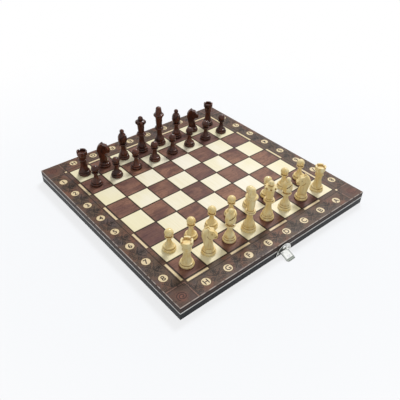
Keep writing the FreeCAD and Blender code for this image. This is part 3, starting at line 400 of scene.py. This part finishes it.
def stained_rail(name, fibre_lengths):
    """Beech rail: dark brown stain over the stringing, charcoal stain under it, fibres along the rail."""
    material, tree, shader = start_material(name, roughness=0.4, Specular_IOR_Level=0.15)
    x, y, z = axes_in_mm(tree)
    fibre = grain(tree, fibre_lengths, detail=5.0, distortion=0.2)
    cloud = grain(tree, (40, 40, 12), detail=3.0)
    upper = add(tree, "MixRGB", {}, {0: fibre, 1: linear("#1C120F"), 2: linear("#3A2721")})
    lower = add(tree, "MixRGB", {}, {0: fibre, 1: linear("#0E1113"), 2: linear("#262B2F")})
    over_line = add(
        tree, "MapRange", SMOOTH,
        {"Value": z, "From Min": STRING_LOW.z / MM, "From Max": STRING_HIGH.z / MM},
    )
    colour = add(tree, "MixRGB", {}, {0: over_line, 1: lower, 2: upper})
    faded = add(
        tree, "MapRange", SMOOTH,
        {"Value": cloud, "From Min": 0.45, "From Max": 0.75, "To Max": 0.3},
    )
    colour = add(tree, "MixRGB", {}, {0: faded, 1: colour, 2: linear("#4A403C")})
    inner = add(tree, "MixRGB", {}, {0: fibre, 1: linear("#3A241D"), 2: linear("#5D3B2C")})
    wall = HALF / MM
    outside = add(
        tree, "MapRange", SMOOTH,
        {"Value": from_centre(tree, x, y),
         "From Min": wall - RAIL_INSIDE_MM, "From Max": wall - RAIL_SKIN_MM},
    )
    colour = add(tree, "MixRGB", {}, {0: outside, 1: inner, 2: colour})
    finish_material(tree, shader, colour, fibre, depth_mm=0.05, gloss=fibre, roughness=(0.32, 0.5))
    return material


def point_veneer():
    """Veneer points of the backgammon field, pale and dark by turns, with fibres along them."""
    material, tree, shader = start_material("point_veneer", roughness=0.4, Specular_IOR_Level=0.3)
    x, y = axes_in_mm(tree)[:2]
    pitch = (POINTS_HIGH.y - POINTS_LOW.y) / MM / POINTS_PER_SIDE
    fibre = grain(tree, (24, 1.0, 3), detail=5.0, distortion=0.3)
    streak = add(tree, "MapRange", SMOOTH, {"Value": fibre, "From Min": 0.3, "From Max": 0.75})
    abs_y = add(tree, "Math", {"operation": "ABSOLUTE"}, {0: y})
    from_first = add(tree, "Math", {"operation": "ADD"}, {0: abs_y, 1: POINTS_HIGH.y / MM})
    rows = add(tree, "Math", {"operation": "DIVIDE"}, {0: from_first, 1: pitch})
    row = add(tree, "Math", {"operation": "FLOOR"}, {0: rows})
    beyond = add(tree, "Math", {"operation": "GREATER_THAN"}, {0: x, 1: 0.0})
    count = add(tree, "Math", {"operation": "ADD"}, {0: row, 1: beyond})
    turn = add(tree, "Math", {"operation": "FLOORED_MODULO"}, {0: count, 1: 2.0})
    pale = add(tree, "MixRGB", {}, {0: streak, 1: linear("#E9DBB2"), 2: linear("#D6C08A")})
    dark = add(tree, "MixRGB", {}, {0: streak, 1: linear("#3A201A"), 2: linear("#57342A")})
    colour = add(tree, "MixRGB", {}, {0: turn, 1: pale, 2: dark})
    finish_material(tree, shader, colour, fibre, depth_mm=0.03, gloss=fibre, roughness=(0.34, 0.48))
    return material


def turned_wood(name, pale, deep, pore, roughness, specular, coat):
    """Lathe-turned wood with fibres up the piece, faint tool rings, lacquer over them, and painted shade:
    a deeper tone in the grooves, where little light reaches."""
    material, tree, shader = start_material(
        name, roughness, Specular_IOR_Level=specular, Coat_Weight=coat, Coat_Roughness=0.08,
    )
    size = SQUARE / MM
    fibre = grain(tree, (1.3, 1.3, 16), detail=5.0, distortion=0.4)
    cloud = grain(tree, (7, 7, 18), detail=3.0, distortion=0.8)
    tool = grain(tree, (size, size, 0.35), detail=2.0)
    band = add(tree, "MapRange", SMOOTH, {"Value": cloud, "From Min": 0.3, "From Max": 0.7})
    colour = add(tree, "MixRGB", {}, {0: band, 1: linear(pale), 2: linear(deep)})
    tone = add(tree, "Math", {"operation": "MULTIPLY"}, {0: square_tone(tree), 1: 0.4})
    colour = add(tree, "MixRGB", {}, {0: tone, 1: colour, 2: linear(deep)})
    pores = add(tree, "MapRange", SMOOTH, {"Value": fibre, "From Min": 0.5, "From Max": 0.8, "To Max": 0.45})
    colour = add(tree, "MixRGB", {}, {0: pores, 1: colour, 2: linear(pore)})
    # Painted shade: the grooves are darkened by ambient occlusion.
    open_air = add(
        tree, "AmbientOcclusion", {"samples": 8, "only_local": True}, {"Distance": GROOVE_REACH},
    ).outputs["AO"]
    painted_groove_shade = add(
        tree, "MapRange", SMOOTH,
        {"Value": open_air, "From Min": 0.35, "From Max": 0.9, "To Min": 0.75, "To Max": 0.0},
    )
    colour = add(tree, "MixRGB", {}, {0: painted_groove_shade, 1: colour, 2: linear(pore)})
    height = add(tree, "Math", {"operation": "ADD"}, {0: fibre, 1: tool})
    finish_material(
        tree, shader, colour, height,
        depth_mm=0.03, gloss=cloud, roughness=(roughness - 0.06, roughness + 0.08),
    )
    return material


def worn_plating(tree, bright, dull):
    """Bright plate with dull patches, and the patches by themselves."""
    patch = grain(tree, (2.5, 2.5, 2.5), detail=3.0)
    worn = add(tree, "MapRange", SMOOTH, {"Value": patch, "From Min": 0.35, "From Max": 0.7})
    return add(tree, "MixRGB", {}, {0: worn, 1: linear(bright), 2: linear(dull)}), patch


def plated_metal(name, bright, dull, roughness):
    """Pressed steel under bright plate: fine polishing scratches and dull patches."""
    material, tree, shader = start_material(name, roughness, Metallic=1.0)
    colour, patch = worn_plating(tree, bright, dull)
    scratch = grain(tree, (0.25, 4, 4), detail=4.0)
    finish_material(
        tree, shader, colour, scratch,
        depth_mm=0.01, gloss=patch, roughness=(roughness - 0.08, roughness + 0.12),
    )
    return material


def dished_nickel():
    """Nickel of the half-moon plates: bright raised rim, and a painted dark reflection in the dish inside
    it, strongest on the left.
    """
    material, tree, shader = start_material("dished_nickel", roughness=0.2, Metallic=1.0)
    x, y = axes_in_mm(tree)[:2]
    colour, patch = worn_plating(tree, "#FAFAF6", "#E2E3DE")
    stain = grain(tree, (5, 5, 4), detail=3.0, distortion=0.6)
    depth = add(tree, "Math", {"operation": "ABSOLUTE"}, {0: y})
    face = (SHEET_T - PLATE_BACK) / MM
    in_dish = add(
        tree, "MapRange", SMOOTH,
        {"Value": depth, "From Min": face + DISH_STARTS_MM, "From Max": face + DISH_ENDS_MM,
         "To Min": 1.0, "To Max": 0.0},
    )
    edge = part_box("clasp_plate")[1].x / MM
    # Painted dark reflection: the dish is darkened on its left half, fading out towards the right.
    painted_dark_reflection = add(
        tree, "MapRange", SMOOTH,
        {"Value": x, "From Min": 0.0, "From Max": edge / 2, "To Min": 0.95, "To Max": 0.15},
    )
    dark = add(tree, "Math", {"operation": "MULTIPLY"}, {0: in_dish, 1: painted_dark_reflection})
    colour = add(tree, "MixRGB", {}, {0: dark, 1: colour, 2: linear("#2C2F2C")})
    dull = add(tree, "Math", {"operation": "MAXIMUM"}, {0: patch, 1: dark})
    finish_material(tree, shader, colour, stain, depth_mm=0.02, gloss=dull, roughness=(0.08, 0.5))
    return material


def strip_nickel():
    """Nickel of the clasp's tongue: bright along its middle, with painted grey shade on the rolled edges and
    the tip.
    """
    material, tree, shader = start_material("strip_nickel", roughness=0.2, Metallic=1.0)
    x, y = axes_in_mm(tree)[:2]
    colour, patch = worn_plating(tree, "#F6F7F4", "#E0E1DC")
    scratch = grain(tree, (0.25, 5, 4), detail=4.0)
    half = TONGUE_HIGH.x / MM
    aside = add(tree, "Math", {"operation": "ABSOLUTE"}, {0: x})
    # Painted shade: the rolled edges and the tip are coloured grey.
    at_edge = add(
        tree, "MapRange", SMOOTH,
        {"Value": aside, "From Min": TONGUE_FLAT_SHARE * half, "From Max": half, "To Max": 0.85},
    )
    tip_end = (TONGUE_LOW.y + TONGUE_TIP) / MM
    painted_tip_shade = add(
        tree, "MapRange", SMOOTH,
        {"Value": y, "From Min": tip_end - TIP_BLUR_MM, "From Max": tip_end, "To Min": 1.0, "To Max": 0.0},
    )
    dark = add(tree, "Math", {"operation": "MAXIMUM"}, {0: at_edge, 1: painted_tip_shade})
    colour = add(tree, "MixRGB", {}, {0: dark, 1: colour, 2: linear("#7C817B")})
    dull = add(tree, "Math", {"operation": "MAXIMUM"}, {0: patch, 1: dark})
    finish_material(tree, shader, colour, scratch, depth_mm=0.01, gloss=dull, roughness=(0.08, 0.6))
    return material


def burnt_line(name, dark, warm):
    """Line burnt or printed into the lacquer, uneven in depth of colour."""
    material, tree, shader = start_material(name, roughness=0.5, Specular_IOR_Level=0.2)
    mottle = grain(tree, (1.2, 1.2, 1.2), detail=3.0)
    uneven = add(tree, "MapRange", SMOOTH, {"Value": mottle, "From Min": 0.35, "From Max": 0.7})
    colour = add(tree, "MixRGB", {}, {0: uneven, 1: linear(dark), 2: linear(warm)})
    finish_material(tree, shader, colour, mottle, depth_mm=0.02)
    return material


def dress(material, *names):
    """Give a CAD node this material and no other."""
    for name in names:
        slots = NODES[name].data.materials
        slots.clear()
        slots.append(material)


def dress_solids():
    """Make the finishes and give every CAD node its own."""
    panel = stained_panel()
    squares = pale_veneer("maple_squares", "#F8F1DC", "#EEE4C6", "#F0E7BA", "#FAF5E8")
    inlay = pale_veneer("maple_inlay", "#E8D4B2", "#DCC79D", "#E1CC9F", "#EAD9C0")
    line = stringing()
    points = point_veneer()
    along_x = stained_rail("stained_rail_long", (30, 1.4, 1.0))
    along_y = stained_rail("stained_rail_side", (1.4, 30, 1.0))
    nickel = plated_metal("nickel_plate", "#C4C5BF", "#8E908A", roughness=0.2)
    brass = plated_metal("brass_plate", "#C9A760", "#8A6E3A", roughness=0.32)
    boxwood = turned_wood(
        "boxwood", "#FCEFBE", "#F1D48C", "#A87636", roughness=0.32, specular=0.35, coat=0.2,
    )
    stained = turned_wood(
        "stained_turned_wood", "#6E3A24", "#371910", "#120704", roughness=0.26, specular=0.2, coat=0.25,
    )
    for half in ("near_", "far_"):
        dress(panel, half + "panel")
        dress(squares, half + "light_squares")
        dress(inlay, half + "border_inlay")
        dress(line, half + "edge_line")
        dress(points, half + "points")
        dress(along_x, half + "outer_rail", half + "hinge_rail")
        dress(along_y, half + "left_rail", half + "right_rail")
        dress(brass, half + "hinge_leaves")
        dress(nickel, half + "screws")
    dress(brass, "hinge_pins")
    dress(dished_nickel(), "clasp_plate", "clasp_catch")
    dress(strip_nickel(), "clasp_tongue")
    dress(nickel, "clasp_pin")
    for name in NODES:
        if name.startswith("light_"):
            dress(boxwood, name)
        elif name.startswith("dark_"):
            dress(stained, name)


def select_only(*pieces):
    """Object mode with just these pieces selected, the first one active."""
    bpy.ops.object.select_all(action="DESELECT")
    for piece in pieces:
        piece.select_set(True)
    bpy.context.view_layer.objects.active = pieces[0]


def apply_place(piece):
    """Put the piece's place and turn into its mesh, so that the object itself sits at the origin."""
    select_only(piece)
    bpy.ops.object.transform_apply(location=True, rotation=True, scale=True)


def start_line(name):
    """A single vertex at the origin, in edit mode and selected, ready to be drawn out."""
    bpy.ops.object.select_all(action="DESELECT")
    bpy.ops.mesh.primitive_plane_add(size=MM)
    bpy.context.object.name = name
    bpy.ops.object.mode_set(mode="EDIT")
    bpy.ops.mesh.select_all(action="SELECT")
    bpy.ops.mesh.merge(type="CENTER")
    return bpy.context.object


def draw_out(x, y):
    """Draw the end of the line on by a straight step."""
    bpy.ops.mesh.extrude_region_move(TRANSFORM_OT_translate={"value": (x, y, 0)})


def raise_line(piece, width):
    """Turn the drawn line into a thin flat strip of the given width on the board's top."""
    bpy.ops.mesh.select_all(action="SELECT")
    bpy.ops.mesh.extrude_region_move(TRANSFORM_OT_translate={"value": (0, 0, INK_RISE + INK_SINK)})
    bpy.ops.object.mode_set(mode="OBJECT")
    strip = piece.modifiers.new("Width", "SOLIDIFY")
    strip.thickness = width
    strip.offset = 0
    strip.use_even_offset = True
    select_only(piece)
    bpy.ops.object.modifier_apply(modifier=strip.name)


def copied(piece, x, y, turn, flip=False):
    """Copy of a line piece, turned about Z and set down on the board's top."""
    twin = piece.copy()
    twin.data = piece.data.copy()
    bpy.context.collection.objects.link(twin)
    mirror = Matrix.Scale(-1, 4, (1, 0, 0)) if flip else Matrix.Identity(4)
    twin.data.transform(Matrix.Translation((x, y, TOP - INK_SINK)) @ Matrix.Rotation(turn, 4, "Z") @ mirror)
    if flip:
        twin.data.flip_normals()
    return twin


def joined(name, pieces, material, body):
    """One piece of several, with its finish, riding on a body."""
    select_only(*pieces)
    bpy.ops.object.join()
    whole = bpy.context.object
    whole.name = name
    whole.data.materials.clear()
    whole.data.materials.append(material)
    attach(whole, body)


def along_edge(index):
    """Middle of a square along one side of the field."""
    return (index + 0.5) * SQUARE - FIELD_HALF


def border_cells(side):
    """Middle and turn of each border cell of one half: the turn brings +Y round to the outer edge."""
    cells = []
    for index in range(len(FILES)):
        along = along_edge(index)
        cells.append((along, side * MEDALLION_OUT, math.pi if side < 0 else 0.0))
        if along * side > 0:
            cells.append((-MEDALLION_OUT, along, math.pi / 2))
            cells.append((MEDALLION_OUT, along, -math.pi / 2))
    return cells


def drawn_scroll(name, turns, width):
    """Scroll of half turns, each tighter than the last."""
    piece = start_line(name)
    x = 0.0
    side = -1
    for radius in turns:
        bpy.ops.mesh.spin(steps=CURL_STEPS, angle=math.pi, center=(x + side * radius, 0, 0), axis=(0, 0, 1))
        x += 2 * side * radius
        side = -side
    raise_line(piece, width)
    return piece


def drawn_chevron():
    """Open angle with its point outwards along X."""
    piece = start_line("chevron")
    draw_out(CHEVRON_H, CHEVRON_HALF_W)
    draw_out(-CHEVRON_H, CHEVRON_HALF_W)
    raise_line(piece, SCROLL_LINE)
    piece.data.transform(Matrix.Translation((-CHEVRON_H, -CHEVRON_HALF_W, 0)))
    return piece


def drawn_ring():
    """Thin ring round a medallion."""
    bpy.ops.object.select_all(action="DESELECT")
    bpy.ops.mesh.primitive_circle_add(vertices=RING_STEPS, radius=MEDALLION_R, fill_type="NOTHING")
    piece = bpy.context.object
    piece.name = "ring"
    bpy.ops.object.mode_set(mode="EDIT")
    raise_line(piece, RING_LINE)
    return piece


def character(text, x, y, turn):
    """One printed letter or number, its middle on the medallion's."""
    bpy.ops.object.select_all(action="DESELECT")
    bpy.ops.object.text_add()
    letter = bpy.context.object
    letter.data.body = text
    letter.data.size = CHARACTER_H / CAPITAL_SHARE
    letter.data.resolution_u = CHARACTER_STEPS
    letter.data.offset = CHARACTER_BOLD
    letter.data.extrude = (INK_RISE + INK_SINK) / 2
    bpy.ops.object.convert(target="MESH")
    bpy.ops.object.origin_set(type="ORIGIN_GEOMETRY", center="BOUNDS")
    letter.location = (x, y, TOP + (INK_RISE - INK_SINK) / 2)
    letter.rotation_euler = (0, 0, turn)
    apply_place(letter)
    return letter


def coordinates(side):
    """Letters along the outer edge and numbers up both sides of one half."""
    outward = math.pi if side > 0 else 0.0
    pieces = []
    for index, letter in enumerate(FILES):
        along = along_edge(index)
        number = str(len(FILES) - index)
        pieces.append(character(letter, along, side * MEDALLION_OUT, outward))
        if along * side > 0:
            pieces.append(character(number, -MEDALLION_OUT, along, 0.0))
            pieces.append(character(number, MEDALLION_OUT, along, math.pi))
    return pieces


def scrolls_of_cell(curl, chevron, x, y, turn):
    """Two angles and eight curls round one medallion, the same on both sides of it."""
    along = Matrix.Rotation(turn, 2)
    scrolls = []
    for flip in (False, True):
        way = -1 if flip else 1
        tip = along @ Vector((way * CHEVRON_TIP, 0))
        scrolls.append(copied(chevron, x + tip.x, y + tip.y, turn, flip))
        for aside, over in (INNER_CURL, OUTER_CURL):
            for over_side in (-1, 1):
                foot = along @ Vector((way * aside, over_side * over))
                curl_turn = turn + (math.pi if over_side < 0 else 0.0)
                scrolls.append(copied(curl, x + foot.x, y + foot.y, curl_turn, flip))
    return scrolls


def corner_scrolls(scroll, side):
    """The scrolls in the two outer corners of one half, each wound in from its corner."""
    scrolls = []
    for x_side in (-1, 1):
        turn = math.atan2(side, x_side)
        start = Vector((x_side, side)).normalized() * CORNER_TURNS[0]
        x = x_side * MEDALLION_OUT + start.x
        y = side * MEDALLION_OUT + start.y
        scrolls.append(copied(scroll, x, y, turn))
    return scrolls


def decorate_border():
    """Rings, scrolls, angles, corner scrolls and coordinates of both halves."""
    ink = burnt_line("printed_ink", "#241710", "#46301E")
    ring_ink = burnt_line("burnt_ring", "#3E3018", "#6E5528")
    scroll_ink = burnt_line("burnt_scroll", "#221B16", "#3A2F28")
    corner_ink = burnt_line("burnt_corner", "#2E1C17", "#4A2C23")
    curl = drawn_scroll("curl", CURL_TURNS, SCROLL_LINE)
    corner = drawn_scroll("corner", CORNER_TURNS, CORNER_LINE)
    chevron = drawn_chevron()
    ring = drawn_ring()
    for half, side in (("near", -1), ("far", 1)):
        body = half + "_half"
        cells = border_cells(side)
        rings = [copied(ring, x, y, 0.0) for x, y, _ in cells]
        scrolls = []
        for x, y, turn in cells:
            scrolls += scrolls_of_cell(curl, chevron, x, y, turn)
        joined(half + "_medallion_rings", rings, ring_ink, body)
        joined(half + "_border_scrolls", scrolls, scroll_ink, body)
        joined(half + "_corner_scrolls", corner_scrolls(corner, side), corner_ink, body)
        joined(half + "_coordinates", coordinates(side), ink, body)
    for pattern in (curl, corner, chevron, ring):
        bpy.data.objects.remove(pattern)


def seen_or_mirrored(tree):
    """1 on a ray from the camera, straight or by way of metal or glass, and 0 on one that only lights."""
    path = add(tree, "LightPath", {}, {}).outputs
    mirrored = add(
        tree, "Math", {"operation": "ADD"},
        {0: path["Is Glossy Ray"], 1: path["Is Transmission Ray"]},
    )
    return add(
        tree, "Math", {"operation": "ADD", "use_clamp": True},
        {0: path["Is Camera Ray"], 1: mirrored},
    )


def pale_floor():
    """White floor that shows soft shadows round the board, fades out away from it and lets a folded half
    be seen through it."""
    bpy.ops.object.select_all(action="DESELECT")
    bpy.ops.mesh.primitive_plane_add(size=FLOOR_SIZE, location=(0, 0, -FLOOR_DROP))
    floor = bpy.context.object
    floor.name = "floor"
    material = bpy.data.materials.new("white_floor")
    material.use_nodes = True
    tree = material.node_tree
    tree.nodes.clear()
    white = add(tree, "BsdfDiffuse", {}, {"Color": linear("#E6EDF8")})
    clear = add(tree, "BsdfTransparent", {}, {})
    at = add(tree, "TexCoord", {}, {}).outputs["Object"]
    away = add(tree, "VectorMath", {"operation": "LENGTH"}, {0: at}).outputs["Value"]
    faint = add(
        tree, "MapRange", SMOOTH,
        {"Value": away, "From Min": FLOOR_NEAR, "From Max": FLOOR_FAR, "To Min": FLOOR_SHOWN, "To Max": 0.0},
    )
    shown = add(tree, "MixShader", {}, {0: faint, 1: clear, 2: white})
    seen = add(tree, "MixShader", {}, {0: seen_or_mirrored(tree), 1: white, 2: shown})
    add(tree, "OutputMaterial", {}, {"Surface": seen})
    floor.data.materials.append(material)


def studio_light():
    """Even white surroundings and one broad soft lamp from behind on the right."""
    world = bpy.data.worlds.new("studio")
    bpy.context.scene.world = world
    world.use_nodes = True
    tree = world.node_tree
    tree.nodes.clear()
    seen = seen_or_mirrored(tree)
    strength = add(tree, "MapRange", {}, {"Value": seen, "To Min": WORLD_LIGHT, "To Max": 1.0})
    sky = add(tree, "Background", {}, {"Color": linear("#FFFFFF"), "Strength": strength})
    add(tree, "OutputWorld", {}, {"Surface": sky})
    bpy.ops.object.light_add(type="AREA", location=LAMP_AT)
    lamp = bpy.context.object
    lamp.name = "soft_box"
    lamp.data.shape = "DISK"
    lamp.data.size = LAMP_SIZE
    lamp.data.energy = LAMP_POWER
    lamp.rotation_euler = (-LAMP_AT).to_track_quat("-Z", "Y").to_euler()


def photo_camera():
    """Camera at the photograph's angle and frame."""
    bpy.ops.object.camera_add(location=CAMERA_AT)
    camera = bpy.context.object
    turn = CAMERA_LOOK.to_track_quat("-Z", "Y").to_matrix() @ Matrix.Rotation(CAMERA_ROLL, 3, "Z")
    camera.rotation_euler = turn.to_euler()
    camera.data.sensor_width = SENSOR_W
    camera.data.lens = CAMERA_LENS
    camera.data.clip_start = 1 * MM
    bpy.context.scene.camera = camera


bpy.context.scene.view_settings.view_transform = "Standard"
dress_solids()
decorate_border()
pale_floor()
studio_light()
photo_camera()
